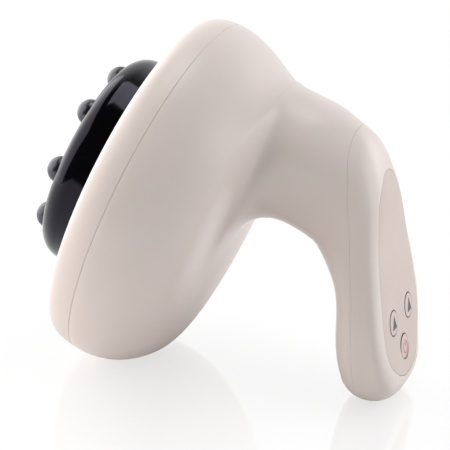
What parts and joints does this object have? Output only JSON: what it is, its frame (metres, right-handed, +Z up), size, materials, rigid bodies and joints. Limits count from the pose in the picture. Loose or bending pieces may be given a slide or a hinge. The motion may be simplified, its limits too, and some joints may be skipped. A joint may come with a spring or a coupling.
{
  "type": "anti-cellulite massager",
  "caption": "Cordless suction and heat massager: a round bowl head with a black cup and turning steel balls, and a curved flat handle with a key panel.",
  "frame": {"origin": "on the floor below the middle of the object's length, as it stands on the rim of its head and the end of its handle", "axes": "+X from the massaging face back to the handle, +Y to the side, +Z up"},
  "size_m": [0.1279, 0.12, 0.1166],
  "materials": {
    "cream_shell": "satin gloss warm cream ABS",
    "panel_beige": "fine matt warm beige",
    "black_gloss": "polished black",
    "ball_steel": "polished dark steel",
    "plate_metal": "plain sheet metal",
    "dark_plastic": "as moulded, dark grey",
    "rubber": "soft black rubber",
    "board_green": "green solder mask",
    "cell_wrap": "blue shrink wrap",
    "felt": "white needle felt",
    "hose_clear": "milky silicone tube"
  },
  "bodies": {
    "shell": {"head_bezel": "cream_shell", "rear_housing": "cream_shell", "handle_cover": "cream_shell", "control_panel": "panel_beige", "massage_cup": "black_gloss", "suction_grille": "black_gloss", "heater_plate": "plate_metal", "pump_motor": "plate_metal", "relief_valve": "plate_metal", "inner_chassis": "dark_plastic", "pump_head": "dark_plastic", "suction_spout": "dark_plastic", "charge_socket": "dark_plastic", "cup_seal": "rubber", "motor_mount": "rubber", "cell_sleeve_1": "rubber", "cell_sleeve_2": "rubber", "main_board": "board_green", "key_board": "board_green", "battery_cell": "cell_wrap", "filter_pad": "felt", "suction_hose": "hose_clear", "vent_hose": "hose_clear"},
    "key_heat": {"button_heat": "panel_beige"},
    "key_suction": {"button_suction": "panel_beige"},
    "key_power": {"button_power": "panel_beige"},
    "roller_1": {"massage_ball_1": "ball_steel"},
    "roller_2": {"massage_ball_2": "ball_steel"},
    "roller_3": {"massage_ball_3": "ball_steel"},
    "roller_4": {"massage_ball_4": "ball_steel"},
    "roller_5": {"massage_ball_5": "ball_steel"},
    "roller_6": {"massage_ball_6": "ball_steel"},
    "roller_7": {"massage_ball_7": "ball_steel"},
    "roller_8": {"massage_ball_8": "ball_steel"}
  },
  "joints": [
    {"name": "button_heat_press", "type": "slide", "parent": "shell", "child": "key_heat", "axis": [-0.9877, 0, -0.1566], "range_m": [0, 0.0004], "stiffness_N_per_m": 2500, "springref_m": -0.0002},
    {"name": "button_suction_press", "type": "slide", "parent": "shell", "child": "key_suction", "axis": [-0.9877, 0, -0.1566], "range_m": [0, 0.0004], "stiffness_N_per_m": 2500, "springref_m": -0.0002},
    {"name": "button_power_press", "type": "slide", "parent": "shell", "child": "key_power", "axis": [-0.9877, 0, -0.1566], "range_m": [0, 0.0004], "stiffness_N_per_m": 2500, "springref_m": -0.0002},
    {"name": "massage_ball_1_turn", "type": "hinge", "parent": "shell", "child": "roller_1", "pos_m": [-0.04171, 0.00166, 0.09339], "axis": [-0.9441, 0, 0.3295], "continuous": true},
    {"name": "massage_ball_2_turn", "type": "hinge", "parent": "shell", "child": "roller_2", "pos_m": [-0.04394, -0.01801, 0.087], "axis": [-0.9441, 0, 0.3295], "continuous": true},
    {"name": "massage_ball_3_turn", "type": "hinge", "parent": "shell", "child": "roller_3", "pos_m": [-0.0501, -0.02713, 0.06935], "axis": [-0.9441, 0, 0.3295], "continuous": true},
    {"name": "massage_ball_4_turn", "type": "hinge", "parent": "shell", "child": "roller_4", "pos_m": [-0.05658, -0.02036, 0.05078], "axis": [-0.9441, 0, 0.3295], "continuous": true},
    {"name": "massage_ball_5_turn", "type": "hinge", "parent": "shell", "child": "roller_5", "pos_m": [-0.05959, -0.00166, 0.04217], "axis": [-0.9441, 0, 0.3295], "continuous": true},
    {"name": "massage_ball_6_turn", "type": "hinge", "parent": "shell", "child": "roller_6", "pos_m": [-0.05736, 0.01801, 0.04856], "axis": [-0.9441, 0, 0.3295], "continuous": true},
    {"name": "massage_ball_7_turn", "type": "hinge", "parent": "shell", "child": "roller_7", "pos_m": [-0.0512, 0.02713, 0.06621], "axis": [-0.9441, 0, 0.3295], "continuous": true},
    {"name": "massage_ball_8_turn", "type": "hinge", "parent": "shell", "child": "roller_8", "pos_m": [-0.04471, 0.02036, 0.08478], "axis": [-0.9441, 0, 0.3295], "continuous": true}
  ]
}
